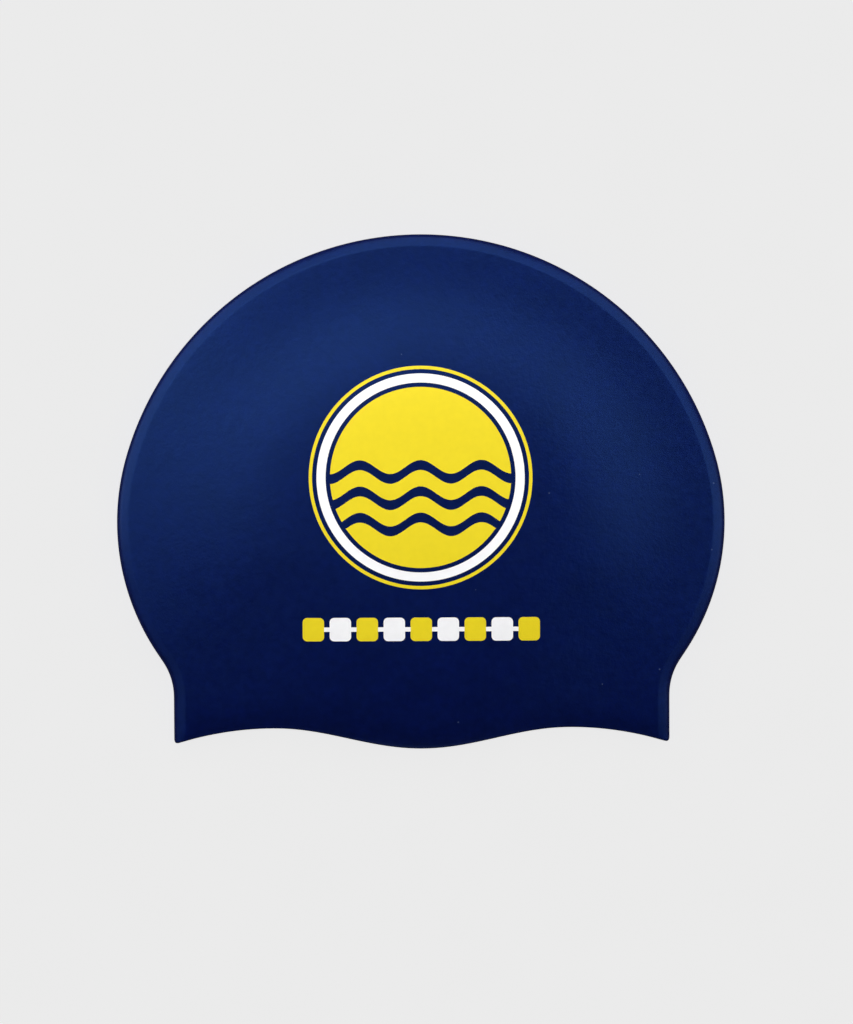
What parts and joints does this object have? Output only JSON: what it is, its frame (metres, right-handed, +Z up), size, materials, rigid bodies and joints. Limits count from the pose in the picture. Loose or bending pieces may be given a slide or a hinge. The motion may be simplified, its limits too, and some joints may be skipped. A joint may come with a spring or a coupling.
{
  "type": "swim cap",
  "caption": "Moulded silicone swim cap lying flat, a hollow two-panel bag with a rolled rim, straight ear tabs and an open wavy hem.",
  "frame": {"origin": "on the surface that the cap lies on, in the middle of its width and length", "axes": "+X across the cap to the right as its front is seen, +Y from the hem to the crown, +Z up out of the front panel"},
  "size_m": [0.222, 0.1878, 0.015],
  "materials": {
    "silicone": "satin navy silicone with a fine matt grain",
    "yellow_ink": "flat screen-printed yellow ink",
    "white_ink": "flat screen-printed white ink"
  },
  "bodies": {
    "root": {"cap_shell": "silicone"}
  },
  "joints": []
}
